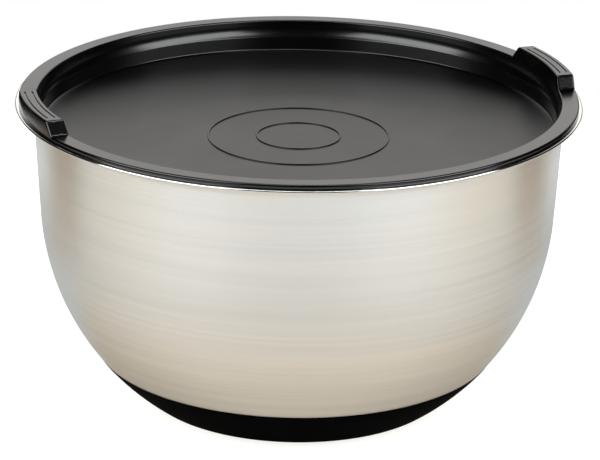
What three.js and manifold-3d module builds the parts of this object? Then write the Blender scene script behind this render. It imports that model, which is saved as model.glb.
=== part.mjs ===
// Mixing bowl with a plug-in lid, in millimetres, +Z up, standing on z = 0.
// A drawn steel shell with a flanged rim, a rubber base cup bonded under it,
// and a moulded lid with two grip tabs that drops into the mouth.
// +X runs through the middle of one grip tab.

import * as THREE from 'three';
import { mergeVertices } from 'three/addons/utils/BufferGeometryUtils.js';
import Module from 'manifold-3d';

// Steel shell
const landHeight = 136.1;      // flat land of the rim, where the lid rests
const landWidth = 2.8;         // the land, from the rim bend to the outside of the edge
const sheet = 0.8;             // thickness of the steel
const edgeRadius = 0.6;        // rounding of the rolled rim edge
const rimBend = 6;             // bend from the wall out to the land, inside
const mouthRadius = 116.2;     // inside of the wall, where the rim bend starts
const wallLean = 3.4;          // degrees that the wall leans in going down
const bellyTop = 85;           // height where the straight wall turns into the belly
const bellyRadius = 112;       // belly curve, outside
const bottomBend = 6;          // bend from the belly into the flat bottom, outside
const stepRun = 3;             // length along the belly of the pressed step over the base

// Rubber base cup
const baseHeight = 21.2;       // height of the seam between steel and base
const baseProud = 0.3;         // how far the base stands out from the steel at the seam
const baseWall = 2.4;          // thickness of the cup's side
const baseFloor = 2.7;         // thickness of the cup's floor
const baseEdge = 2;            // rounding where the side meets the table
const footWidth = 14;          // width of the ring that stands on the table
const footRecess = 1;          // hollow of the underside inside the foot ring

// Adhesive between steel and base
const bondThickness = 0.3;     // also the gap all round the cup
const bondMargin = 6;          // edge of the flat bottom to the adhesive
const bondWidth = 38;

// Lid
const ringSetback = 1.5;       // rim edge to the lid's outer edge
const ringThickness = 2.2;
const ringEdge = 0.8;          // rounding of the ring's top edges
const plugGap = 0.3;           // clearance between the plug and the bowl
const lidWall = 2;
const lidFloor = 2;
const ledgeDepth = 5.5;        // edge of the ledge under the ring, below the land
const ledgeWidth = 1.8;        // the ring's inner wall to the edge of the ledge
const coveTurn = 34;           // degrees that the cove turns from the wall to that edge
const footDepth = 11.5;        // foot of the inner wall, below the land
const floorDepth = 17.2;       // dish floor, below the land
const borderRadius = 222;      // shallow dish from the wall's foot down to the flat floor
const outerMark = 40;          // ring ridge on the dish floor
const innerMark = 18.5;        // the ridge inside it
const markWidth = 0.9;
const markHeight = 0.45;

// Grip tabs, moulded with the lid
const tabCount = 2;            // spread evenly round the rim, the first on +X
const tabLength = 55;          // along the rim, at the ring
const tabTopLength = 46;
const tabHeight = 5.6;         // above the ring
const tabRoot = 1;             // depth of the tab's root inside the ring
const tabEdge = 0.8;
const tabGrooveCount = 2;
const tabGroovePitch = 3.3;
const tabGrooveWidth = 0.8;
const tabGrooveDepth = 0.5;
const tabGrooveMargin = 3.5;   // groove end to the end of the tab's top

// Roundness of the solids
const turnSteps = 48;
const bendSteps = 3;
const bellySteps = 6;

const radians = THREE.MathUtils.degToRad;
const degrees = THREE.MathUtils.radToDeg;
const lean = radians(wallLean);

// Points are (radius, height). The helpers give stretches of a turned profile.
const point = (radius, height) => new THREE.Vector2(radius, height);

function arc(centre, radius, startDegrees, endDegrees, steps) {
  const clockwise = endDegrees < startDegrees;
  const from = radians(startDegrees);
  const to = radians(endDegrees);
  return new THREE.EllipseCurve(centre.x, centre.y, radius, radius, from, to, clockwise).getPoints(steps);
}

function turned(profile) {
  const geometry = new THREE.LatheGeometry(profile, turnSteps);
  return geometry.rotateX(Math.PI / 2);
}

// Where the wall, the rim bend and the belly lie
const rimBendCentre = point(mouthRadius + rimBend * Math.cos(lean), landHeight - rimBend);
const rimRadius = rimBendCentre.x + landWidth;
const wallTop = rimBendCentre.y + rimBend * Math.sin(lean);
const insideWall = (height) => mouthRadius - (wallTop - height) * Math.tan(lean);
const outsideWall = (height) => insideWall(height) + sheet / Math.cos(lean);
const bellyCentre = point(
  outsideWall(bellyTop) - bellyRadius * Math.cos(lean),
  bellyTop + bellyRadius * Math.sin(lean)
);

// Angles on the belly run from 0 at the centre's height to -90 straight down
const bellyAngle = (radius, height) => -degrees(Math.asin((bellyCentre.y - height) / radius));
const seamAngle = bellyAngle(bellyRadius, baseHeight);
const stepAngle = degrees(stepRun / bellyRadius);
const cupOutside = bellyRadius + baseProud;
const cupInside = cupOutside - baseWall;
const sunkenRadius = cupInside - bondThickness;
const steelBottom = baseFloor + bondThickness;

// The belly runs into the flat bottom on a bend that touches both
function bottomBendOf(curveRadius, bottom, bend) {
  const height = bottom + bend;
  const reach = curveRadius - bend;
  const radius = bellyCentre.x + Math.sqrt(reach ** 2 - (bellyCentre.y - height) ** 2);
  const centre = point(radius, height);
  return { centre, angle: bellyAngle(reach, height) };
}

const steelBend = bottomBendOf(sunkenRadius, steelBottom, bottomBend);

function steelShell() {
  const inner = bottomBendOf(sunkenRadius - sheet, steelBottom + sheet, bottomBend - sheet);
  const stepEnd = seamAngle - stepAngle;
  const stepShift = degrees(sheet / 2 / bellyRadius);
  const edgeCentre = point(rimRadius - edgeRadius, landHeight - edgeRadius);
  const underLand = landHeight - sheet;
  const profile = [
    point(0, steelBottom),
    ...arc(steelBend.centre, bottomBend, -90, steelBend.angle, bendSteps),
    ...arc(bellyCentre, sunkenRadius, steelBend.angle, stepEnd, bellySteps / 2).slice(1),
    ...arc(bellyCentre, bellyRadius, seamAngle, -wallLean, bellySteps),
    ...arc(rimBendCentre, rimBend - sheet, 180 - wallLean, 90, bendSteps),
    point(edgeCentre.x - edgeRadius, underLand),
    ...arc(edgeCentre, edgeRadius, -90, 90, 2 * bendSteps),
    ...arc(rimBendCentre, rimBend, 90, 180 - wallLean, bendSteps),
    ...arc(bellyCentre, bellyRadius - sheet, -wallLean, seamAngle + stepShift, bellySteps),
    ...arc(bellyCentre, sunkenRadius - sheet, stepEnd + stepShift, inner.angle, bellySteps / 2),
    ...arc(inner.centre, bottomBend - sheet, inner.angle, -90, bendSteps).slice(1),
    point(0, steelBottom + sheet),
  ];
  return turned(profile);
}

function baseCup() {
  const edge = bottomBendOf(cupOutside, 0, baseEdge);
  const footOuter = edge.centre.x;
  const footInner = footOuter - footWidth;
  const rimGap = degrees(bondThickness / bellyRadius);
  const cupTop = seamAngle - 2 * rimGap;
  const cupInnerTop = seamAngle - stepAngle - rimGap;
  const floorAngle = bellyAngle(cupInside, baseFloor);
  const profile = [
    point(0, footRecess),
    point(footInner - footRecess, footRecess),
    point(footInner, 0),
    ...arc(edge.centre, baseEdge, -90, edge.angle, bendSteps),
    ...arc(bellyCentre, cupOutside, edge.angle, cupTop, bellySteps / 2).slice(1),
    ...arc(bellyCentre, cupInside, cupInnerTop, floorAngle, bellySteps / 2),
    point(0, baseFloor),
  ];
  return turned(profile);
}

function bondRing() {
  const bondOuter = steelBend.centre.x - bondMargin;
  const bondInner = bondOuter - bondWidth;
  const corners = [
    point(bondInner, baseFloor),
    point(bondOuter, baseFloor),
    point(bondOuter, steelBottom),
    point(bondInner, steelBottom),
  ];
  return turned([...corners, corners[0]]);
}

// Closed meshes become solids that can be joined and cut
const wasm = await Module();
wasm.setup();

function solidOf(geometry) {
  const bare = new THREE.BufferGeometry();
  bare.setAttribute('position', geometry.getAttribute('position'));
  bare.setIndex(geometry.getIndex());
  const merged = mergeVertices(bare);
  const index = merged.getIndex().array;
  const triangles = [];
  for (let i = 0; i < index.length; i += 3) {
    const [a, b, c] = index.slice(i, i + 3);
    if (a !== b && b !== c && c !== a) triangles.push(a, b, c);
  }
  const vertProperties = new Float32Array(merged.getAttribute('position').array);
  const triVerts = new Uint32Array(triangles);
  return new wasm.Manifold(new wasm.Mesh({ numProp: 3, vertProperties, triVerts }));
}

function geometryOf(solid) {
  const mesh = solid.getMesh();
  const geometry = new THREE.BufferGeometry();
  geometry.setAttribute('position', new THREE.BufferAttribute(mesh.vertProperties, mesh.numProp));
  geometry.setIndex(new THREE.BufferAttribute(mesh.triVerts, 1));
  geometry.computeVertexNormals();
  return geometry;
}

// The lid's levels and radii
const ringTop = landHeight + ringThickness;
const ringOuter = rimRadius - ringSetback;
const plugRadius = (height) => insideWall(height) - plugGap / Math.cos(lean);
const ledgeHeight = landHeight - ledgeDepth;
const wallFootHeight = landHeight - footDepth;
const dishFloor = landHeight - floorDepth;
const ledgeRadius = plugRadius(ledgeHeight) - lidWall;
const ringInner = ledgeRadius + ledgeWidth;

function lidBody() {
  const footRadius = plugRadius(wallFootHeight) - lidWall;
  const borderTurn = Math.acos(1 - (wallFootHeight - dishFloor) / borderRadius);
  const borderCentre = point(footRadius - borderRadius * Math.sin(borderTurn), dishFloor + borderRadius);
  const underRadius = borderRadius + lidFloor;
  const plugFoot = plugRadius(wallFootHeight - lidFloor);
  const underTurn = Math.asin((plugFoot - borderCentre.x) / underRadius);
  const underAngle = degrees(underTurn) - 90;
  const borderAngle = degrees(borderTurn) - 90;
  const ringOuterEdge = point(ringOuter - ringEdge, ringTop - ringEdge);
  const ringInnerEdge = point(ringInner + ringEdge, ringTop - ringEdge);
  const coveRadius = ledgeWidth / (1 - Math.cos(radians(coveTurn)));
  const coveTop = ledgeHeight + coveRadius * Math.sin(radians(coveTurn));
  const coveCentre = point(ringInner - coveRadius, coveTop);
  const mark = (radius) => [
    point(radius + markWidth / 2, dishFloor),
    point(radius + (markWidth * 3) / 8, dishFloor + markHeight),
    point(radius - (markWidth * 3) / 8, dishFloor + markHeight),
    point(radius - markWidth / 2, dishFloor),
  ];
  const profile = [
    point(0, dishFloor - lidFloor),
    ...arc(borderCentre, underRadius, -90, underAngle, bendSteps),
    ...arc(rimBendCentre, rimBend + plugGap, 180 - wallLean, 90, bendSteps),
    point(rimBendCentre.x + plugGap, landHeight),
    point(ringOuter, landHeight),
    ...arc(ringOuterEdge, ringEdge, 0, 90, bendSteps - 1),
    ...arc(ringInnerEdge, ringEdge, 90, 180, bendSteps - 1),
    ...arc(coveCentre, coveRadius, 0, -coveTurn, bendSteps),
    ...arc(borderCentre, borderRadius, borderAngle, -90, bendSteps + 1),
    ...mark(outerMark),
    ...mark(innerMark),
    point(0, dishFloor),
  ];
  return solidOf(turned(profile));
}

// A ring of the tab's section, cut to the tab's length by a block with leaning ends
function endedBlock(length, topLength, bottom, top) {
  const outline = new THREE.Shape([
    point(-length / 2, bottom),
    point(length / 2, bottom),
    point(topLength / 2, top),
    point(-topLength / 2, top),
  ]);
  const geometry = new THREE.ExtrudeGeometry(outline, { depth: 2 * rimRadius, bevelEnabled: false });
  const along = new THREE.Vector3(0, 1, 0);
  const up = new THREE.Vector3(0, 0, 1);
  const outward = new THREE.Vector3(1, 0, 0);
  geometry.applyMatrix4(new THREE.Matrix4().makeBasis(along, up, outward));
  return geometry;
}

function gripTab(azimuth) {
  const top = ringTop + tabHeight;
  const root = ringTop - tabRoot;
  const endLean = (tabLength - tabTopLength) / 2 / tabHeight;
  const lengthAt = (height) => tabTopLength + 2 * endLean * (top - height);
  const section = [
    point(ringInner, root),
    point(ringOuter, root),
    ...arc(point(ringOuter - tabEdge, top - tabEdge), tabEdge, 0, 90, bendSteps - 1),
    ...arc(point(ringInner + tabEdge, top - tabEdge), tabEdge, 90, 180, bendSteps - 1),
    point(ringInner, root),
  ];
  const above = top + tabEdge;
  const block = endedBlock(lengthAt(root - tabEdge), lengthAt(above), root - tabEdge, above);
  let tab = solidOf(turned(section)).intersect(solidOf(block.rotateZ(azimuth)));
  const middle = (ringInner + ringOuter) / 2;
  const grooveLength = tabTopLength - 2 * tabGrooveMargin;
  const grooveFloor = top - tabGrooveDepth;
  for (let i = 0; i < tabGrooveCount; i += 1) {
    const radius = middle + (i - (tabGrooveCount - 1) / 2) * tabGroovePitch;
    const corners = [
      point(radius - tabGrooveWidth / 2, grooveFloor),
      point(radius + tabGrooveWidth / 2, grooveFloor),
      point(radius + tabGrooveWidth / 2, above),
      point(radius - tabGrooveWidth / 2, above),
    ];
    const reach = endedBlock(grooveLength, grooveLength, root, above + tabEdge);
    const cutter = solidOf(turned([...corners, corners[0]])).intersect(solidOf(reach.rotateZ(azimuth)));
    tab = tab.subtract(cutter);
  }
  return tab;
}

function lid() {
  let solid = lidBody();
  for (let i = 0; i < tabCount; i += 1) {
    solid = solid.add(gripTab(radians((i * 360) / tabCount)));
  }
  return geometryOf(solid);
}

const steel = new THREE.MeshStandardMaterial({ color: 0xcfccc5, roughness: 0.34, metalness: 1 });
const rubber = new THREE.MeshStandardMaterial({ color: 0x0e0f10, roughness: 0.75, metalness: 0 });
const plastic = new THREE.MeshStandardMaterial({ color: 0x1a1a1b, roughness: 0.5, metalness: 0 });
const adhesive = new THREE.MeshStandardMaterial({ color: 0xd8d4c8, roughness: 0.6, metalness: 0 });

function named(name, geometry, material) {
  const mesh = new THREE.Mesh(geometry, material);
  mesh.name = name;
  return mesh;
}

const bowl = new THREE.Group();
bowl.add(named('steel_bowl', steelShell(), steel));
bowl.add(named('nonslip_base', baseCup(), rubber));
bowl.add(named('base_bond', bondRing(), adhesive));
bowl.add(named('lid', lid(), plastic));

export default bowl;
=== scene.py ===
# %% [markdown]
# # A mixing bowl with a plug-in lid
# The bowl is a drawn shell of brushed steel with a flanged rim. A black rubber cup is
# bonded under it, and a black moulded lid with two grip tabs drops into its mouth.
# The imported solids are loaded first: they give the place of every piece, in metres,
# with +Z up and +X through one grip tab. Each piece is then made again with the finer
# curves of the real one, at the same place and the same size.

# %% Load the frame
import math
from collections import namedtuple

import bmesh
import bpy
from mathutils import Matrix, Quaternion, Vector


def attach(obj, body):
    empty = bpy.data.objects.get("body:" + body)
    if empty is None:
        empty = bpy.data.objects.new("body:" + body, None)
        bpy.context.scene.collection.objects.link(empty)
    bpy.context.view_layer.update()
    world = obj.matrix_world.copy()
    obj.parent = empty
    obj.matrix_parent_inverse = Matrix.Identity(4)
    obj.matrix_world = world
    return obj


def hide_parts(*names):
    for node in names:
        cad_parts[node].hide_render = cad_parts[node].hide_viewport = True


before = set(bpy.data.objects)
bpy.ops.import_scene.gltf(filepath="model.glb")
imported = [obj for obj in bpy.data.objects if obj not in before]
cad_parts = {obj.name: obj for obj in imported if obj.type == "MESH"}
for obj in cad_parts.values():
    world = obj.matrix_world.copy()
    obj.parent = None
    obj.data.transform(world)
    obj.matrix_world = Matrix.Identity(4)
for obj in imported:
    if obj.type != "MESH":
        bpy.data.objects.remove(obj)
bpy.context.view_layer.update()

# %% [markdown]
# ## The camera
# The photograph looks down on the bowl at about 18 degrees through a long lens. The
# circles of the rim, the lid and the base fix where it stood: each is an ellipse in the
# picture, and only one camera gives all of them at once. A long lens far away keeps the
# ellipses as alike as they are in the picture.

# %% Camera
PHOTO_WIDTH = 600
FOCAL_PIXELS = 3392
VIEW_TURN = math.radians(19)      # line through the two tabs against the picture's width
VIEW_RISE = math.radians(17.62)
VIEW_ROLL = math.radians(0.9)
VIEW_DISTANCE = 1.5
AIM_HEIGHT = 0.07446
AIM_ASIDE = 0.00134
RIM_CENTRE = Vector((0, 0, 0.136))
UP = Vector((0, 0, 1))
to_right = Vector((math.cos(VIEW_TURN), -math.sin(VIEW_TURN), 0))
to_back = UP.cross(to_right)

eye = RIM_CENTRE + VIEW_DISTANCE * (math.sin(VIEW_RISE) * UP - math.cos(VIEW_RISE) * to_back)
aim = AIM_HEIGHT * UP + AIM_ASIDE * to_right
camera = bpy.data.objects.new("camera", bpy.data.cameras.new("camera"))
camera.location = eye
camera.rotation_mode = "QUATERNION"
towards = (aim - eye).to_track_quat("-Z", "Y")
camera.rotation_quaternion = towards @ Quaternion((0, 0, 1), VIEW_ROLL)
camera.data.sensor_fit = "HORIZONTAL"
camera.data.lens = FOCAL_PIXELS * camera.data.sensor_width / PHOTO_WIDTH
scene = bpy.context.scene
scene.collection.objects.link(camera)
scene.camera = camera
scene.view_settings.view_transform = "Standard"
print("lens %.1f mm, camera at" % camera.data.lens, tuple(round(c, 3) for c in eye))

# %% [markdown]
# ## Node maths that reads like Python
# Node trees make both the shapes and the finishes below. One small class holds an output
# socket. Adding or multiplying two of them adds a Math node, so a formula can be written
# the way it is thought of. Every other node comes from one method, which first sets the
# node's settings and then its sockets.

# %% The socket class
class Wire:
    """One output socket, which can stand in a Python expression."""

    def __init__(self, socket):
        self.socket = socket

    @staticmethod
    def node(tree, kind, settings=None, sockets=None, output=0):
        made = tree.nodes.new(kind)
        for name, value in (settings or {}).items():
            setattr(made, name, value)
        for name, value in (sockets or {}).items():
            if isinstance(value, Wire):
                tree.links.new(value.socket, made.inputs[name])
            else:
                made.inputs[name].default_value = value
        return Wire(made.outputs[output]) if made.outputs else None

    def maths(self, operation, *values):
        tree = self.socket.id_data
        settings = {"operation": operation}
        return Wire.node(tree, "ShaderNodeMath", settings, dict(enumerate(values)))

    def __add__(self, other):
        return self.maths("ADD", self, other)

    def __radd__(self, other):
        return self.maths("ADD", other, self)

    def __sub__(self, other):
        return self.maths("SUBTRACT", self, other)

    def __rsub__(self, other):
        return self.maths("SUBTRACT", other, self)

    def __mul__(self, other):
        return self.maths("MULTIPLY", self, other)

    def __rmul__(self, other):
        return self.maths("MULTIPLY", other, self)

    def __truediv__(self, other):
        return self.maths("DIVIDE", self, other)

    def __rtruediv__(self, other):
        return self.maths("DIVIDE", other, self)

    def __mod__(self, other):
        return self.maths("MODULO", self, other)


print("socket class ready")

# %% [markdown]
# ## Turning a profile
# The bowl, the base and the lid are all round, so each is one profile turned about Z.
# A Screw modifier could do that, but it turns in even steps, and the lid needs close
# steps at the ends of its tabs. This tree takes the profile's points and a row of
# stations, which are the angles to turn to. It lays a grid with one row for each profile
# point and one column for each station, and bends it round. The seam and the poles close
# when points in the same place are merged.

# %% Helpers for geometry trees
MERGE_DISTANCE = 1e-6


def new_tree(name, inputs):
    tree = bpy.data.node_groups.new(name, "GeometryNodeTree")
    face = tree.interface
    face.new_socket("Geometry", in_out="INPUT", socket_type="NodeSocketGeometry")
    face.new_socket("Geometry", in_out="OUTPUT", socket_type="NodeSocketGeometry")
    keys = {}
    for label, kind in inputs.items():
        keys[label] = face.new_socket(label, in_out="INPUT", socket_type=kind).identifier
    start = tree.nodes.new("NodeGroupInput")
    given = {socket.name: Wire(socket) for socket in start.outputs if socket.name}
    return tree, given, keys


def close_tree(tree, geometry, finish):
    real = Wire.node(tree, "GeometryNodeRealizeInstances", None, {"Geometry": geometry})
    sockets = {"Geometry": real, "Material": finish}
    dressed = Wire.node(tree, "GeometryNodeSetMaterial", None, sockets)
    Wire.node(tree, "NodeGroupOutput", None, {"Geometry": dressed})


def smoothed(tree, geometry, sharp_from):
    """Shade smooth, apart from edges that turn by more than an angle."""
    kind = "GeometryNodeSetShadeSmooth"
    angle = Wire.node(tree, "GeometryNodeInputMeshEdgeAngle")
    sharp = angle.maths("GREATER_THAN", angle, sharp_from)
    soft = Wire.node(tree, kind, {"domain": "FACE"}, {0: geometry, 2: True})
    return Wire.node(tree, kind, {"domain": "EDGE"}, {0: soft, 1: sharp, 2: False})


def merged(tree, geometry):
    sockets = {"Geometry": geometry, "Distance": MERGE_DISTANCE}
    return Wire.node(tree, "GeometryNodeMergeByDistance", None, sockets)


def attribute(tree, name):
    settings = {"data_type": "FLOAT"}
    return Wire.node(tree, "GeometryNodeInputNamedAttribute", settings, {"Name": name})


def split(tree, vector):
    parts = Wire.node(tree, "ShaderNodeSeparateXYZ", None, {0: vector})
    return [Wire(socket) for socket in parts.socket.node.outputs]


print("geometry helpers ready")

# %% The turning tree: what goes in
CARRIED = ("along", "rise", "cut")      # what each profile point hands on to the surface
turning, given, turning_keys = new_tree("turned_profile", {
    "Stations": "NodeSocketObject",
    "Sharp from": "NodeSocketFloat",
    "Finish": "NodeSocketMaterial",
})


def count_of(geometry):
    settings = {"component": "MESH"}
    return Wire.node(turning, "GeometryNodeAttributeDomainSize", settings, {0: geometry})


def taken(geometry, value, kind, index):
    sockets = {"Geometry": geometry, "Value": value, "Index": index}
    settings = {"data_type": kind, "domain": "POINT"}
    return Wire.node(turning, "GeometryNodeSampleIndex", settings, sockets)


profile = given["Geometry"]
sockets = {"Object": given["Stations"]}
stations = Wire.node(turning, "GeometryNodeObjectInfo", None, sockets, "Geometry")
rows = count_of(profile)
columns = count_of(stations)
print("turning tree takes", ", ".join(turning_keys))

# %% The turning tree: a grid bent round
sockets = {"Vertices X": columns + 1, "Vertices Y": rows}
surface = Wire.node(turning, "GeometryNodeMeshGrid", None, sockets)
index = Wire.node(turning, "GeometryNodeInputIndex")
row = index % rows
share = (index + 0.5) / rows      # the half keeps rounding from moving a column's first point
column = share.maths("FLOOR", share) % columns
where = Wire.node(turning, "GeometryNodeInputPosition")
radius, _, height = split(turning, taken(profile, where, "FLOAT_VECTOR", row))
angle, _, _ = split(turning, taken(stations, where, "FLOAT_VECTOR", column))
bent = Wire.node(turning, "ShaderNodeCombineXYZ", None, {
    "X": radius * angle.maths("COSINE", angle),
    "Y": radius * angle.maths("SINE", angle),
    "Z": height,
})
for label in CARRIED:
    value = taken(profile, attribute(turning, label), "FLOAT", row)
    sockets = {"Geometry": surface, "Name": label, "Value": value}
    settings = {"data_type": "FLOAT", "domain": "POINT"}
    surface = Wire.node(turning, "GeometryNodeStoreNamedAttribute", settings, sockets)
sockets = {"Geometry": surface, "Position": bent}
surface = Wire.node(turning, "GeometryNodeSetPosition", None, sockets)
surface = smoothed(turning, merged(turning, surface), given["Sharp from"])
close_tree(turning, surface, given["Finish"])
print("turning tree has", len(turning.nodes), "nodes")

# %% [markdown]
# A profile is written in millimetres as points of radius and height, from the middle of
# the underside, up the outside and back down the inside, so that the faces look outwards.
# Arcs give the bends. A straight stretch gets a point close to each end, which keeps the
# shading of a bend from running out over the flat beside it.

# %% Helpers for profiles
Point = namedtuple("Point", "radius height rise cut", defaults=(0.0, 0.0))


def arc(centre, size, start, end, steps, rise=0.0):
    points = []
    for i in range(steps + 1):
        turn = math.radians(start + (end - start) * i / steps)
        radius = centre[0] + size * math.cos(turn)
        height = centre[1] + size * math.sin(turn)
        points.append(Point(radius, height, rise))
    return points


def between(a, b, share):
    return Point(*(p + (q - p) * share for p, q in zip(a, b)))


def straight(a, b, gap=0.15):
    share = gap / math.dist(a[:2], b[:2])
    return [a, between(a, b, share), between(a, b, 1 - share), b]


def eased(before, corner, after, cut, steps=4):
    """A corner taken off along a small curve that starts and ends at a distance cut."""
    first = between(corner, before, cut / math.dist(corner[:2], before[:2]))
    last = between(corner, after, cut / math.dist(corner[:2], after[:2]))
    shares = [i / steps for i in range(steps + 1)]
    return [between(between(first, corner, s), between(corner, last, s), s) for s in shares]


print("profile helpers ready")

# %% Objects for profiles and stations
MM = 0.001
SAME_PLACE = 1e-4       # points closer than this, in millimetres, are one
EVEN_STEPS = 256


def linked(name, data):
    made = bpy.data.objects.new(name, data)
    scene.collection.objects.link(made)
    return made


def profile_object(name, points):
    kept = [points[0]]
    for point in points[1:]:
        if math.dist(point, kept[-1]) > SAME_PLACE:
            kept.append(point)
    mesh = bpy.data.meshes.new(name)
    mesh.from_pydata([(p.radius * MM, 0, p.height * MM) for p in kept], [], [])
    along = [0.0]
    for a, b in zip(kept, kept[1:]):
        along.append(along[-1] + math.dist(a[:2], b[:2]) * MM)
    carried = (along, [p.rise for p in kept], [p.cut for p in kept])
    for label, values in zip(CARRIED, carried):
        mesh.attributes.new(label, "FLOAT", "POINT").data.foreach_set("value", values)
    return linked(name, mesh)


def station_object(name, angles):
    mesh = bpy.data.meshes.new(name)
    mesh.from_pydata([(a, 0, 0) for a in angles], [], [])
    return linked(name, mesh)


even_turns = [math.tau * i / EVEN_STEPS for i in range(EVEN_STEPS)]
even_stations = station_object("even_stations", even_turns)
print("even stations:", EVEN_STEPS)

# %% [markdown]
# A tree only describes a shape, so the tree is run and its result is kept as a plain
# mesh. An open edge would be a hole in the piece, so they are counted.

# %% From trees to a plain piece
SHARP = math.radians(30)      # edges that turn by more than this stay sharp


def turned_with(stations, finish):
    """The turning tree, with what goes into it."""
    values = {"Stations": stations, "Sharp from": SHARP, "Finish": finish}
    return turning, turning_keys, values


def open_edges(mesh):
    probe = bmesh.new()
    probe.from_mesh(mesh)
    found = sum(not edge.is_manifold for edge in probe.edges)
    probe.free()
    return found


def make_plain(piece, trees):
    """Run the trees on a piece and keep their result as its mesh."""
    for tree, keys, values in trees:
        modifier = piece.modifiers.new(tree.name, "NODES")
        modifier.node_group = tree
        for label, value in values.items():
            modifier[keys[label]] = value
    ready = bpy.context.evaluated_depsgraph_get()
    mesh = bpy.data.meshes.new_from_object(
        piece.evaluated_get(ready), preserve_all_data_layers=True, depsgraph=ready)
    piece.modifiers.clear()
    piece.data = mesh
    print(piece.name, len(mesh.polygons), "faces,", open_edges(mesh), "open edges")


def stand_for(piece, node, body):
    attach(piece, body)
    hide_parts(node)


print("piece helpers ready")

# %% [markdown]
# ## Brushed steel
# The shell was brushed while it spun, so fine lines run round it. They make the metal
# rough across the lines and smooth along them, which draws every reflection out up and
# down: that is anisotropy. The lines themselves are noise that is stretched round the
# bowl. It reads the direction from the axis and the length along the profile, so the
# lines follow the belly as they do on the real one. Wider smears change the tint a
# little, from cool to warm. The rim is polished by the rolling, so it is smoother.

# %% Finish helpers
MIX_SHARE, MIX_FIRST, MIX_SECOND, MIX_COLOUR = 0, 6, 7, 2      # a Mix node's colour sockets


def new_finish(name):
    finish = bpy.data.materials.new(name)
    finish.use_nodes = True
    finish.node_tree.nodes.clear()
    return finish, finish.node_tree


def principled(tree, sockets):
    shader = Wire.node(tree, "ShaderNodeBsdfPrincipled", None, sockets)
    Wire.node(tree, "ShaderNodeOutputMaterial", None, {"Surface": shader})


def noise(tree, vector, scale, detail):
    sockets = {"Vector": vector, "Scale": scale, "Detail": detail}
    return Wire.node(tree, "ShaderNodeTexNoise", None, sockets)


def ramp(tree, value, low, high):
    """A soft rise from 0 at low to 1 at high, or a fall where low is the larger one."""
    settings = {"interpolation_type": "SMOOTHSTEP"}
    sockets = {"Value": value, "From Min": low, "From Max": high}
    return Wire.node(tree, "ShaderNodeMapRange", settings, sockets)


def mixed(tree, share, first, second):
    sockets = {MIX_SHARE: share, MIX_FIRST: first, MIX_SECOND: second}
    return Wire.node(tree, "ShaderNodeMix", {"data_type": "RGBA"}, sockets, MIX_COLOUR)


def bump(tree, height, strength, distance):
    sockets = {"Height": height, "Strength": strength, "Distance": distance}
    return Wire.node(tree, "ShaderNodeBump", None, sockets)


def vector_maths(tree, operation, sockets, output="Vector"):
    settings = {"operation": operation}
    return Wire.node(tree, "ShaderNodeVectorMath", settings, sockets, output)


def object_place(tree):
    return Wire.node(tree, "ShaderNodeTexCoord", None, None, "Object")


def level_part(tree, place):
    return vector_maths(tree, "MULTIPLY", {0: place, 1: (1, 1, 0)})


print("finish helpers ready")

# %% The steel's lines
MEAN_RADIUS = 0.115
FINE_LINES = (0.110, 0.0013)        # length and width in metres
MEDIUM_LINES = (0.200, 0.0034)
SMEARS = (0.120, 0.040)

steel, tree = new_finish("brushed_steel")
place = object_place(tree)
around = vector_maths(tree, "NORMALIZE", {0: level_part(tree, place)})
along = Wire.node(tree, "ShaderNodeAttribute", {"attribute_name": "along"}, None, "Fac")


def streaks(size, detail):
    """Noise in streaks of a length round the bowl and a width along the profile."""
    length, width = size
    turned = vector_maths(tree, "SCALE", {0: around, "Scale": MEAN_RADIUS / length})
    across = Wire.node(tree, "ShaderNodeCombineXYZ", None, {"Z": along / width})
    return noise(tree, vector_maths(tree, "ADD", {0: turned, 1: across}), 1.0, detail)


fine = streaks(FINE_LINES, detail=0.0)
medium = streaks(MEDIUM_LINES, detail=1.5)
smears = streaks(SMEARS, detail=2.0)
print("steel lines from", FINE_LINES[1], "to", SMEARS[1], "m wide")

# %% The steel finish
STEEL_COOL = (0.735, 0.752, 0.738, 1)
STEEL_WARM = (0.732, 0.732, 0.700, 1)
WARM_RANGE = (0.50, 1.0)
MEDIUM_IN_TINT = 0.5
DARKEST, MEDIUM_SHADE, FINE_SHADE = 0.885, 0.14, 0.09
STEEL_ROUGHNESS = 0.26
RIM_POLISH = 0.12       # how much less rough the rim is
RIM_START = 0.1325      # height in metres where the polished rim begins
RIM_BLEND = 0.003

rim = ramp(tree, split(tree, place)[2], RIM_START, RIM_START + RIM_BLEND)
tint = ramp(tree, smears + MEDIUM_IN_TINT * medium, *WARM_RANGE)
shade = DARKEST + MEDIUM_SHADE * medium + FINE_SHADE * fine
colour = mixed(tree, tint, STEEL_COOL, STEEL_WARM)
principled(tree, {
    "Base Color": vector_maths(tree, "SCALE", {0: colour, "Scale": shade}),
    "Metallic": 1.0,
    "Roughness": STEEL_ROUGHNESS - RIM_POLISH * rim,
    "Anisotropic": 0.75,
    "Anisotropic Rotation": 0.25,
})
print("steel finish has", len(tree.nodes), "nodes")

# %% [markdown]
# ## The steel shell
# The wall leans in a little on its way down, turns into a round belly, and steps in where
# the base begins, so that the rubber carries on the curve. The rim bends out into a flat
# land for the lid and ends in a rolled edge.

# %% Shell sizes
LAND_HEIGHT = 136.1
LAND_WIDTH = 2.8
SHEET = 0.8
EDGE_RADIUS = 0.6
RIM_BEND = 6.0
MOUTH_RADIUS = 116.2
WALL_LEAN = 3.4
BELLY_TOP = 85.0
BELLY_RADIUS = 112.0
BOTTOM_BEND = 6.0
STEP_RUN = 3.0
BASE_HEIGHT = 21.2
BASE_PROUD = 0.3
BASE_WALL = 2.4
BASE_FLOOR = 2.7
BOND_THICKNESS = 0.3

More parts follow.
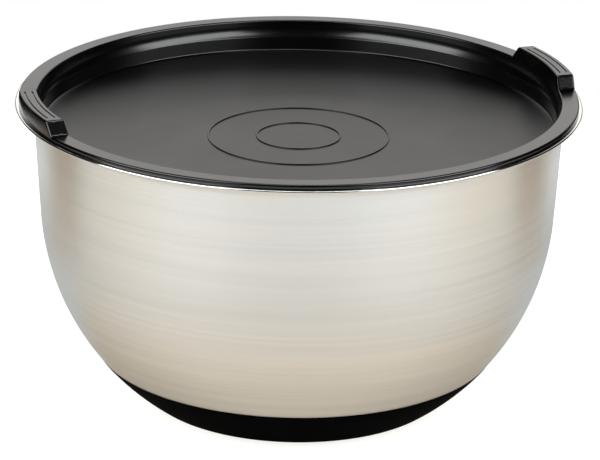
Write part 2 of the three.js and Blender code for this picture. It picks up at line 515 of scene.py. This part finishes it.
lean = math.radians(WALL_LEAN)
rim_bend_centre = (MOUTH_RADIUS + RIM_BEND * math.cos(lean), LAND_HEIGHT - RIM_BEND)
rim_radius = rim_bend_centre[0] + LAND_WIDTH
wall_top = rim_bend_centre[1] + RIM_BEND * math.sin(lean)


def inside_wall(height):
    return MOUTH_RADIUS - (wall_top - height) * math.tan(lean)


belly_centre = (
    inside_wall(BELLY_TOP) + SHEET / math.cos(lean) - BELLY_RADIUS * math.cos(lean),
    BELLY_TOP + BELLY_RADIUS * math.sin(lean),
)


def belly_angle(size, height):
    return -math.degrees(math.asin((belly_centre[1] - height) / size))


def bottom_bend(size, bottom, bend):
    """Centre and angle of the bend that touches both the belly curve and the bottom."""
    height = bottom + bend
    reach = size - bend
    radius = belly_centre[0] + math.sqrt(reach ** 2 - (belly_centre[1] - height) ** 2)
    return (radius, height), belly_angle(reach, height)


seam_angle = belly_angle(BELLY_RADIUS, BASE_HEIGHT)
step_angle = math.degrees(STEP_RUN / BELLY_RADIUS)
cup_outside = BELLY_RADIUS + BASE_PROUD
cup_inside = cup_outside - BASE_WALL
sunken_radius = cup_inside - BOND_THICKNESS
steel_bottom = BASE_FLOOR + BOND_THICKNESS
print("rim radius %.2f mm, seam at %.1f degrees on the belly" % (rim_radius, seam_angle))

# %% Shell profile: outside
BEND_STEPS = 8
SUNKEN_STEPS = 12
BELLY_STEPS = 36
OUTER_RIM_STEPS = 10
INNER_RIM_STEPS = 12
EDGE_STEPS = 20
WALL_GAP = 1.0


def belly_step(first_size, last_size, first_angle, last_angle, steps=10):
    """An S-shaped step from one radius of the belly to another."""
    points = []
    for i in range(steps + 1):
        share = i / steps
        size = first_size + (last_size - first_size) * share * share * (3 - 2 * share)
        angle = first_angle + (last_angle - first_angle) * share
        points += arc(belly_centre, size, angle, 0, 1)[:1]
    return points


outer_bend, outer_angle = bottom_bend(sunken_radius, steel_bottom, BOTTOM_BEND)
step_end = seam_angle - step_angle
edge_centre = (rim_radius - EDGE_RADIUS, LAND_HEIGHT - EDGE_RADIUS)
outer_rim = arc(rim_bend_centre, RIM_BEND - SHEET, 180 - WALL_LEAN, 90, OUTER_RIM_STEPS)

shell = [Point(0, steel_bottom)]
shell += arc(outer_bend, BOTTOM_BEND, -90, outer_angle, BEND_STEPS)
shell += arc(belly_centre, sunken_radius, outer_angle, step_end, SUNKEN_STEPS)
shell += belly_step(sunken_radius, BELLY_RADIUS, step_end, seam_angle)
shell += arc(belly_centre, BELLY_RADIUS, seam_angle, -WALL_LEAN, BELLY_STEPS)
shell += straight(shell[-1], outer_rim[0], WALL_GAP)
shell += outer_rim
shell += arc(edge_centre, EDGE_RADIUS, -180, 90, EDGE_STEPS)
print("outside of the shell:", len(shell), "points")

# %% Shell profile: inside
inside_bend = BOTTOM_BEND - SHEET
inside_belly = BELLY_RADIUS - SHEET
inside_sunken = sunken_radius - SHEET
inner_bend, inner_angle = bottom_bend(inside_sunken, steel_bottom + SHEET, inside_bend)
step_shift = math.degrees(SHEET / 2 / BELLY_RADIUS)
inner_seam = seam_angle + step_shift
inner_step_end = step_end + step_shift
inner_rim = arc(rim_bend_centre, RIM_BEND, 90, 180 - WALL_LEAN, INNER_RIM_STEPS)
inner_belly = arc(belly_centre, inside_belly, -WALL_LEAN, inner_seam, BELLY_STEPS)

shell += straight(shell[-1], inner_rim[0])
shell += inner_rim
shell += straight(inner_rim[-1], inner_belly[0], WALL_GAP)
shell += inner_belly
shell += belly_step(inside_belly, inside_sunken, inner_seam, inner_step_end)
shell += arc(belly_centre, inside_sunken, inner_step_end, inner_angle, SUNKEN_STEPS)
shell += arc(inner_bend, inside_bend, inner_angle, -90, BEND_STEPS)
shell += [Point(0, steel_bottom + SHEET)]

bowl_shell = profile_object("bowl_shell", shell)
make_plain(bowl_shell, [turned_with(even_stations, steel)])
stand_for(bowl_shell, "steel_bowl", "bowl")

# %% [markdown]
# ## The rubber base
# The base is a soft black cup. Rubber is matte: its surface is slightly uneven at the
# scale of a grain of dust, so it scatters what little light it reflects. Its lip stands
# out a hair from the steel, which draws a fine edge at the seam.

# %% The rubber finish
RUBBER_DARK = (0.0008, 0.0014, 0.0020, 1)
RUBBER_LIGHT = (0.0018, 0.0025, 0.0033, 1)
PATCH_RANGE = (0.35, 0.7)       # noise between which patches fade from one tone to another
RUBBER_GRAIN = 2600.0
HANDLING_PATCHES = 60.0
RUBBER_ROUGHNESS, RUBBER_GRAIN_ROUGHER, HANDLING_ROUGHER = 0.56, 0.10, 0.08

rubber, tree = new_finish("base_rubber")
place = object_place(tree)
grain = noise(tree, place, RUBBER_GRAIN, detail=3.0)
handling = noise(tree, place, HANDLING_PATCHES, detail=4.0)
patches = ramp(tree, handling, *PATCH_RANGE)
roughness = RUBBER_ROUGHNESS + RUBBER_GRAIN_ROUGHER * grain + HANDLING_ROUGHER * handling
principled(tree, {
    "Base Color": mixed(tree, patches, RUBBER_DARK, RUBBER_LIGHT),
    "Roughness": roughness,
    "Specular IOR Level": 0.006,
    "Normal": bump(tree, grain, strength=0.12, distance=0.0001),
})
print("rubber finish has", len(tree.nodes), "nodes")

# %% Base profile
BASE_EDGE = 2.0
FOOT_WIDTH = 14.0
FOOT_RECESS = 1.0
FOOT_EASE = 0.4
LIP_EASE = 0.5
BASE_EDGE_STEPS = 10
CUP_SIDE_STEPS = 24
CUP_INSIDE_STEPS = 16

edge, edge_angle = bottom_bend(cup_outside, 0, BASE_EDGE)
foot_outer = edge[0]
foot_inner = foot_outer - FOOT_WIDTH
rim_gap = math.degrees(BOND_THICKNESS / BELLY_RADIUS)
cup_top = seam_angle - 2 * rim_gap
cup_inner_top = seam_angle - step_angle - rim_gap
floor_angle = belly_angle(cup_inside, BASE_FLOOR)
recess_edge = Point(foot_inner - FOOT_RECESS, FOOT_RECESS)
foot_edge = Point(foot_inner, 0)
side = arc(belly_centre, cup_outside, edge_angle, cup_top, CUP_SIDE_STEPS)
lip = belly_step(cup_outside, cup_inside, cup_top, cup_inner_top)

cup = [Point(0, FOOT_RECESS)]
cup += eased(cup[0], recess_edge, foot_edge, FOOT_EASE)
cup += eased(recess_edge, foot_edge, Point(foot_outer, 0), FOOT_EASE)
cup += arc(edge, BASE_EDGE, -90, edge_angle, BASE_EDGE_STEPS)
cup += side[:-1]
cup += eased(side[-2], side[-1], lip[2], LIP_EASE)
cup += lip[3:]
cup += arc(belly_centre, cup_inside, cup_inner_top, floor_angle, CUP_INSIDE_STEPS)
cup += [Point(0, BASE_FLOOR)]

base_cup = profile_object("base_cup", cup)
make_plain(base_cup, [turned_with(even_stations, rubber)])
stand_for(base_cup, "nonslip_base", "bowl")

# %% [markdown]
# ## The adhesive
# A thin ring of cured adhesive holds the cup to the flat bottom of the shell. It is
# hidden. Pressed between two faces, it draws in a little at its edges.

# %% The adhesive finish
FILM_PALE = (0.72, 0.69, 0.61, 1)
FILM_AMBER = (0.60, 0.55, 0.45, 1)
FLOW_RANGE = (0.3, 0.7)
FLOW_PATCHES = 180.0
FILM_ROUGHNESS, FLOW_ROUGHER = 0.35, 0.25

film, tree = new_finish("adhesive")
flow = noise(tree, object_place(tree), FLOW_PATCHES, detail=4.0)
principled(tree, {
    "Base Color": mixed(tree, ramp(tree, flow, *FLOW_RANGE), FILM_PALE, FILM_AMBER),
    "Roughness": FILM_ROUGHNESS + FLOW_ROUGHER * flow,
    "Normal": bump(tree, flow, strength=0.2, distance=0.0003),
})
print("adhesive finish has", len(tree.nodes), "nodes")

# %% The adhesive film
BOND_MARGIN = 6.0
BOND_WIDTH = 38.0

bond_outer = outer_bend[0] - BOND_MARGIN
bond_inner = bond_outer - BOND_WIDTH
draw_in = BOND_THICKNESS / 2
middle = BASE_FLOOR + draw_in
outer_middle = Point(bond_outer - draw_in, middle)
outer_top = Point(bond_outer, steel_bottom)
inner_middle = Point(bond_inner + draw_in, middle)
inner_top = Point(bond_inner, steel_bottom)

ring = [Point(bond_inner, BASE_FLOOR), Point(bond_outer, BASE_FLOOR)]
ring += eased(ring[1], outer_middle, outer_top, draw_in / 2)
ring += [outer_top, inner_top]
ring += eased(inner_top, inner_middle, ring[0], draw_in / 2)
ring += [ring[0]]

base_adhesive = profile_object("base_adhesive", ring)
make_plain(base_adhesive, [turned_with(even_stations, film)])
stand_for(base_adhesive, "base_bond", "bowl")

# %% [markdown]
# ## The lid's plastic
# The lid is moulded in black plastic. It has hardly any colour of its own: what shows is
# the room in its surface. At the flat angle of the photograph it reflects the bright
# background as grey, while walls that face the viewer stay black. The dish has a fine
# moulded grain, which makes it duller than the ring and the walls.

# %% The plastic finish
PLASTIC_DARK = (0.0004, 0.0004, 0.0005, 1)
PLASTIC_LIGHT = (0.0010, 0.0009, 0.0008, 1)
PLASTIC_GRAIN = 2200.0
WEAR_PATCHES = 45.0
DISH_EDGE = (0.1132, 0.1110)      # radii in metres between which the dish's grain begins
RING_ROUGHNESS = 0.14
DISH_ROUGHER, GRAIN_ROUGHER, WEAR_ROUGHER = 0.16, 0.05, 0.06

plastic, tree = new_finish("lid_plastic")
place = object_place(tree)
grain = noise(tree, place, PLASTIC_GRAIN, detail=3.0)
wear = noise(tree, place, WEAR_PATCHES, detail=5.0)
patches = ramp(tree, wear, *PATCH_RANGE)
out = vector_maths(tree, "LENGTH", {0: level_part(tree, place)}, "Value")
grained = ramp(tree, out, *DISH_EDGE)
roughness = RING_ROUGHNESS + DISH_ROUGHER * grained
roughness = roughness + GRAIN_ROUGHER * grain + WEAR_ROUGHER * wear
principled(tree, {
    "Base Color": mixed(tree, patches, PLASTIC_DARK, PLASTIC_LIGHT),
    "Roughness": roughness,
    "IOR": 1.47,
    "Normal": bump(tree, grain, strength=0.06, distance=0.00008),
})
print("plastic finish has", len(tree.nodes), "nodes")

# %% [markdown]
# ## The lid
# The lid is turned like the bowl, with one difference: its ring rises into two grip tabs.
# A tab has the ring's own section, so it needs no piece of its own. Each profile point
# carries a number for how much it rises with a tab, and another for how deep it sinks
# into the grooves on top. A second tree moves the turned points by those numbers. The
# stations lie close together at the ends of the tabs, where the shape changes quickly.
# The two fine rings on the dish's floor are ridges in the profile.

# %% The tab tree
tabs, given, tab_keys = new_tree("raised_tabs", {
    "Tab height": "NodeSocketFloat",
    "Foot length": "NodeSocketFloat",
    "Top length": "NodeSocketFloat",
    "Softness": "NodeSocketFloat",
    "Groove depth": "NodeSocketFloat",
    "Groove length": "NodeSocketFloat",
    "Groove end": "NodeSocketFloat",
    "Sharp from": "NodeSocketFloat",
    "Finish": "NodeSocketMaterial",
})
where = Wire.node(tabs, "GeometryNodeInputPosition")
_, chord, _ = split(tabs, where)
reach = chord.maths("ABSOLUTE", chord)
foot = given["Foot length"] / 2
climb = (foot - reach) / (foot - given["Top length"] / 2)
climb = climb.maths("SMOOTH_MAX", climb, 0.0, given["Softness"])
climb = climb.maths("SMOOTH_MIN", climb, 1.0, given["Softness"])
groove_half = given["Groove length"] / 2
groove = ramp(tabs, reach, groove_half, groove_half - given["Groove end"])
rise = attribute(tabs, "rise") * climb * given["Tab height"]
sink = attribute(tabs, "cut") * groove * given["Groove depth"]
offset = Wire.node(tabs, "ShaderNodeCombineXYZ", None, {"Z": rise - sink})
sockets = {"Geometry": given["Geometry"], "Offset": offset}
raised = Wire.node(tabs, "GeometryNodeSetPosition", None, sockets)
close_tree(tabs, smoothed(tabs, raised, given["Sharp from"]), given["Finish"])
print("tab tree has", len(tabs.nodes), "nodes")

# %% Lid sizes
RING_SETBACK = 1.5
RING_THICKNESS = 2.2
RING_EDGE = 0.8
PLUG_GAP = 0.3
LID_WALL = 2.0
LID_FLOOR = 2.0
LEDGE_DEPTH = 5.5
LEDGE_WIDTH = 1.8
COVE_TURN = 34.0
FOOT_DEPTH = 11.5
FLOOR_DEPTH = 17.2
BORDER_RADIUS = 222.0
MARK_RADII = (40.0, 18.5)
MARK_WIDTH = 0.9
MARK_HEIGHT = 0.45
TAB_GROOVES = (1.65, -1.65)      # from the middle of the ring, outer one first
TAB_GROOVE_WIDTH = 0.8

ring_top = LAND_HEIGHT + RING_THICKNESS
ring_outer = rim_radius - RING_SETBACK
ledge_height = LAND_HEIGHT - LEDGE_DEPTH
foot_height = LAND_HEIGHT - FOOT_DEPTH
dish_floor = LAND_HEIGHT - FLOOR_DEPTH


def plug_radius(height):
    return inside_wall(height) - PLUG_GAP / math.cos(lean)


ledge_radius = plug_radius(ledge_height) - LID_WALL
ring_inner = ledge_radius + LEDGE_WIDTH
foot_radius = plug_radius(foot_height) - LID_WALL
border_turn = math.acos(1 - (foot_height - dish_floor) / BORDER_RADIUS)
border_start = foot_radius - BORDER_RADIUS * math.sin(border_turn)
border_centre = (border_start, dish_floor + BORDER_RADIUS)
cove_sine = math.sin(math.radians(COVE_TURN))
cove_radius = LEDGE_WIDTH / (1 - math.cos(math.radians(COVE_TURN)))
cove_centre = (ring_inner - cove_radius, ledge_height + cove_radius * cove_sine)
print("lid ring from %.2f to %.2f mm" % (ring_inner, ring_outer))

# %% Lid profile: underside and ring
SEAT_EASE = 0.2
PLUG_EASE = 0.4
NUDGE = 0.1       # a point this close to a bend keeps its shading off the flat beside it
GROOVE_SECTION = ((0.5, 0.0), (0.28, 1.0), (-0.28, 1.0), (-0.5, 0.0))     # across, depth
UNDER_STEPS, SEAT_STEPS, SEAT_CORNER_STEPS, RING_EDGE_STEPS = 16, 10, 4, 8


def beside(point, radius=0.0, height=0.0):
    return point._replace(radius=point.radius + radius, height=point.height + height)


under_radius = BORDER_RADIUS + LID_FLOOR
plug_foot = plug_radius(foot_height - LID_FLOOR)
under_angle = math.degrees(math.asin((plug_foot - border_centre[0]) / under_radius)) - 90
under = arc(border_centre, under_radius, -90, under_angle, UNDER_STEPS)
seat = arc(rim_bend_centre, RIM_BEND + PLUG_GAP, 180 - WALL_LEAN, 90, SEAT_STEPS)
seat_corner = (ring_outer - SEAT_EASE, LAND_HEIGHT + SEAT_EASE)
edge_height = ring_top - RING_EDGE
outer_centre = (ring_outer - RING_EDGE, edge_height)
inner_centre = (ring_inner + RING_EDGE, edge_height)
outer_edge = arc(outer_centre, RING_EDGE, 0, 90, RING_EDGE_STEPS, rise=1.0)
inner_edge = arc(inner_centre, RING_EDGE, 90, 180, RING_EDGE_STEPS, rise=1.0)
ring_middle = (ring_inner + ring_outer) / 2

lid_points = [Point(0, dish_floor - LID_FLOOR)]
lid_points += under[:-1]
lid_points += eased(under[-2], under[-1], seat[0], PLUG_EASE)
lid_points += seat
lid_points += [Point(rim_bend_centre[0] + PLUG_GAP, LAND_HEIGHT)]
lid_points += arc(seat_corner, SEAT_EASE, -90, 0, SEAT_CORNER_STEPS)
lid_points += [beside(outer_edge[0], height=-NUDGE)]
lid_points += outer_edge
lid_points += [beside(outer_edge[-1], radius=-NUDGE)]
for spot in TAB_GROOVES:
    for across, depth in GROOVE_SECTION:
        radius = ring_middle + spot + across * TAB_GROOVE_WIDTH
        lid_points += [Point(radius, ring_top, 1.0, depth)]
lid_points += [beside(inner_edge[0], radius=NUDGE)]
lid_points += inner_edge
lid_points += [beside(inner_edge[-1], height=-NUDGE)]
print("underside and ring:", len(lid_points), "points")

# %% Lid profile: cove, wall and dish
COVE_NUDGE = 0.3
LEDGE_EASE = 0.2
WALL_FOOT_EASE = 0.5
MARK_SECTION = ((0.5, 0.0), (0.375, 1.0), (-0.375, 1.0), (-0.5, 0.0))     # across, height
COVE_STEPS, BORDER_STEPS = 10, 24
GATE_RADIUS = 1.6
GATE_FLOOR_RADIUS = GATE_RADIUS * 0.7
GATE_DEPTH = 0.05

border_top = math.degrees(border_turn) - 90
cove = arc(cove_centre, cove_radius, 0, -COVE_TURN, COVE_STEPS)
border = arc(border_centre, BORDER_RADIUS, border_top, -90, BORDER_STEPS)
gate_floor = dish_floor - GATE_DEPTH
lid_points += [beside(cove[0], height=COVE_NUDGE)]
lid_points += cove[:-1]
lid_points += eased(cove[-2], cove[-1], border[0], LEDGE_EASE)
lid_points += eased(cove[-1], border[0], border[1], WALL_FOOT_EASE)
lid_points += border[1:]
for mark in MARK_RADII:
    for across, height in MARK_SECTION:
        radius = mark + across * MARK_WIDTH
        lid_points += [Point(radius, dish_floor + height * MARK_HEIGHT)]
lid_points += straight(lid_points[-1], Point(GATE_RADIUS, dish_floor))[1:]
lid_points += straight(Point(GATE_FLOOR_RADIUS, gate_floor), Point(0, gate_floor))
print("whole lid profile:", len(lid_points), "points")

# %% Lid stations
COARSE_STEP = 1.5       # degrees
FINE_STEP = 0.15
FINE_FROM = 9.0
FINE_TO = 14.4
QUARTER, HALF = 90.0, 180.0
ROUNDING = 1e-6

quarter = []
turn = 0.0
while turn < QUARTER - ROUNDING:
    quarter.append(turn)
    turn += FINE_STEP if FINE_FROM <= turn < FINE_TO else COARSE_STEP
turns = quarter + [QUARTER] + [HALF - t for t in reversed(quarter)]
turns += [HALF + t for t in turns[1:-1]]
lid_stations = station_object("lid_stations", [math.radians(t) for t in turns])
print("lid stations:", len(turns))

# %% Turn the lid
TAB_HEIGHT = 5.6
TAB_LENGTH = 55.0
TAB_TOP_LENGTH = 46.0
TAB_SOFTNESS = 0.12
TAB_GROOVE_DEPTH = 0.5
TAB_GROOVE_LENGTH = 39.0
TAB_GROOVE_END = 0.8

lid = profile_object("lid_moulding", lid_points)
tab_values = {
    "Tab height": TAB_HEIGHT * MM,
    "Foot length": TAB_LENGTH * MM,
    "Top length": TAB_TOP_LENGTH * MM,
    "Softness": TAB_SOFTNESS,
    "Groove depth": TAB_GROOVE_DEPTH * MM,
    "Groove length": TAB_GROOVE_LENGTH * MM,
    "Groove end": TAB_GROOVE_END * MM,
    "Sharp from": SHARP,
    "Finish": plastic,
}
make_plain(lid, [turned_with(lid_stations, plastic), (tabs, tab_keys, tab_values)])
stand_for(lid, "lid", "lid")
for helper in (even_stations, lid_stations):
    bpy.data.objects.remove(helper)

# %% [markdown]
# ## The table
# Bright metal has little look of its own: it shows what stands around it. So the studio
# is planned from what the bowl should mirror. The bowl stands on a plain pale table. The
# camera sees the table as white, but the table still takes the bowl's shadow. The belly
# mirrors the table, so painted shade is put into the table's colour for it to mirror:
# darker near the bowl, where the bowl's own shade falls, darker behind it and at its back
# flanks, where the front boxes cast the bowl's shadow, pale further out and warm at the
# sides. They follow the distance from the bowl and the direction, so they need no picture.

# %% Table
TABLE_RADIUS = 0.49
TABLE_FORWARD = 0.07
TABLE_DROP = 0.0002
TABLE_SIDES = 128

table_mesh = bpy.data.meshes.new("table")
build = bmesh.new()
bmesh.ops.create_circle(build, cap_ends=True, segments=TABLE_SIDES, radius=TABLE_RADIUS)
build.to_mesh(table_mesh)
build.free()
table_mesh.transform(Matrix.Translation(-TABLE_FORWARD * to_back - TABLE_DROP * UP))
table = linked("table", table_mesh)
print("table", 2 * TABLE_RADIUS, "m across")

# %% Table tones, with painted shade and shadow
# The near and middle tones are painted shade: the table is darker close round the bowl, where
# the bowl's own shade falls.
TABLE_NEAR_SHADE = (0.52, 0.45, 0.37, 1)
TABLE_MIDDLE_SHADE = (0.52, 0.48, 0.44, 1)
TABLE_FAR = (0.88, 0.87, 0.86, 1)
TABLE_SIDE = (0.86, 0.79, 0.69, 1)
# The back tone is a painted shadow: the table is darker behind the bowl, where the front
# boxes cast the bowl's shadow.
TABLE_BACK_SHADOW = (0.485, 0.495, 0.49, 1)
# The flank tone is a painted shadow too: darker and warmer at the back flanks, where each
# front box casts the bowl's shadow.
TABLE_FLANK_SHADOW = (0.49, 0.415, 0.345, 1)
MIDDLE_REACH = (0.10, 0.20)       # distances in metres over which a tone comes in
FAR_REACH = (0.272, 0.43)
FLANK_REACH = (0.14, 0.34)
SIDE_SHARE = (0.70, 0.95)         # shares of the distance that point sideways or back
BACK_SHARE = (-0.15, 0.35)
FLANK_START = (-0.08, 0.24)
FLANK_END = (0.68, 0.34)

table_finish, tree = new_finish("pale_table_painted_shade")
place = object_place(tree)
distance = vector_maths(tree, "LENGTH", {0: place}, "Value")


def share_along(way):
    """How far a point of the table lies along a direction, as a share of its distance."""
    return vector_maths(tree, "DOT_PRODUCT", {0: place, 1: way}, "Value") / distance


aside = share_along(to_right)
aside = ramp(tree, aside.maths("ABSOLUTE", aside), *SIDE_SHARE)
back_share = share_along(to_back)
backish = ramp(tree, back_share, *BACK_SHARE)
flank = ramp(tree, back_share, *FLANK_START) * ramp(tree, back_share, *FLANK_END)
far = mixed(tree, aside, TABLE_FAR, TABLE_SIDE)
# Painted shade close round the bowl.
colour = mixed(tree, ramp(tree, distance, *MIDDLE_REACH), TABLE_NEAR_SHADE, TABLE_MIDDLE_SHADE)
# Painted shadow behind the bowl.
colour = mixed(tree, backish, colour, TABLE_BACK_SHADOW)
colour = mixed(tree, ramp(tree, distance, *FAR_REACH), colour, far)
# Painted shadow at the back flanks.
colour = mixed(tree, flank * ramp(tree, distance, *FLANK_REACH), colour, TABLE_FLANK_SHADOW)
print("table tones have", len(tree.nodes), "nodes")

# %% Table finish
WHITE = (1, 1, 1, 1)
CAMERA_LIFT = 0.80
MIRROR_LIFT = 0.25
BACK_LIFT = 0.10


def ray_kinds(tree):
    """Rays that come from the camera, and rays that show in metal or glass."""
    ray = Wire.node(tree, "ShaderNodeLightPath").socket.node.outputs
    mirrored = Wire(ray["Is Glossy Ray"]) + Wire(ray["Is Transmission Ray"])
    return Wire(ray["Is Camera Ray"]), mirrored


seen, mirrored = ray_kinds(tree)
diffuse = Wire.node(tree, "ShaderNodeBsdfDiffuse", None, {"Color": colour})
# In reflections the table glows with its tones, painted shade included; for the camera it
# glows white.
glow = Wire.node(tree, "ShaderNodeEmission", None, {
    "Color": mixed(tree, seen, colour, WHITE),
    "Strength": CAMERA_LIFT * seen + (MIRROR_LIFT + BACK_LIFT * backish) * mirrored,
})
both = Wire.node(tree, "ShaderNodeAddShader", None, {0: diffuse, 1: glow})
Wire.node(tree, "ShaderNodeOutputMaterial", None, {"Surface": both})
table.data.materials.append(table_finish)
print("table finish has", len(tree.nodes), "nodes")

# %% [markdown]
# ## The room
# The camera sees the room as white. In reflections it is white only behind the bowl, up
# to about half way to overhead, and dark on the camera's side. That is why the lid's flat
# faces, which show the room behind, are grey, while the walls that face the camera stay
# black. A backdrop could do the same, but it would stand in the way in other views.

# %% Room
ROOM_DARK = 0.005
ROOM_FILL = 0.45              # share of the white that lights matte surfaces
ROOM_TINT = (1.0, 0.97, 0.93, 1)
BACK_WIDTH = (0.68, 0.91)     # shares of a direction that point back, where the white begins
BACK_FOOT = (0.00, 0.20)      # sines of the heights between which the white begins
BACK_TOP = (0.76, 0.60)       # and between which it ends, from above

world = bpy.data.worlds.new("studio")
scene.world = world
world.use_nodes = True
tree = world.node_tree
tree.nodes.clear()
direction = Wire.node(tree, "ShaderNodeTexCoord", None, None, "Generated")
backward = vector_maths(tree, "DOT_PRODUCT", {0: direction, 1: to_back}, "Value")
upward = split(tree, direction)[2]
behind = ramp(tree, backward, *BACK_WIDTH)
white = behind * ramp(tree, upward, *BACK_FOOT) * ramp(tree, upward, *BACK_TOP)
seen, mirrored = ray_kinds(tree)
level = ROOM_DARK + white * (ROOM_FILL + (1 - ROOM_FILL) * mirrored)
background = Wire.node(tree, "ShaderNodeBackground", None, {
    "Color": mixed(tree, seen, ROOM_TINT, WHITE),
    "Strength": seen + (1 - seen) * level,
})
Wire.node(tree, "ShaderNodeOutputWorld", None, {"Surface": background})
print("white behind ends by", round(math.degrees(math.asin(BACK_TOP[0]))), "degrees up")

# %% [markdown]
# ## The soft boxes
# A soft box is a lamp with a wide face, so it gives soft shadows and broad highlights.
# Two stand in front, one on each side, for the bright bands of the steel. A strip
# overhead draws the white line along the rim, and a weak box behind shapes the lid's ring
# and tabs.

# %% Soft boxes
BOX_DISTANCE = 1.0
BOX_TINT = (0.97, 0.985, 1.0)


def soft_box(name, turn, rise, size, radiance):
    """A lamp that faces the bowl, turned from the camera's side and raised, in degrees."""
    turn, rise = math.radians(turn), math.radians(rise)
    level_way = math.sin(turn) * to_right - math.cos(turn) * to_back
    way = math.cos(rise) * level_way + math.sin(rise) * UP
    lamp = bpy.data.lights.new(name, "AREA")
    lamp.shape = "RECTANGLE"
    lamp.size, lamp.size_y = size
    lamp.color = BOX_TINT
    lamp.energy = radiance * math.pi * size[0] * size[1]
    made = linked(name, lamp)
    made.location = RIM_CENTRE + BOX_DISTANCE * way
    made.rotation_mode = "QUATERNION"
    made.rotation_quaternion = (-way).to_track_quat("-Z", "Y")
    print(name, "at", tuple(round(c, 2) for c in made.location), "%.1f W" % lamp.energy)


soft_box("left_box", turn=-56, rise=30, size=(0.95, 0.50), radiance=7.2)
soft_box("right_box", turn=56, rise=30, size=(0.95, 0.50), radiance=7.0)
soft_box("top_box", turn=0, rise=82, size=(0.70, 0.24), radiance=7.0)
soft_box("back_box", turn=180, rise=28, size=(1.2, 0.5), radiance=0.42)
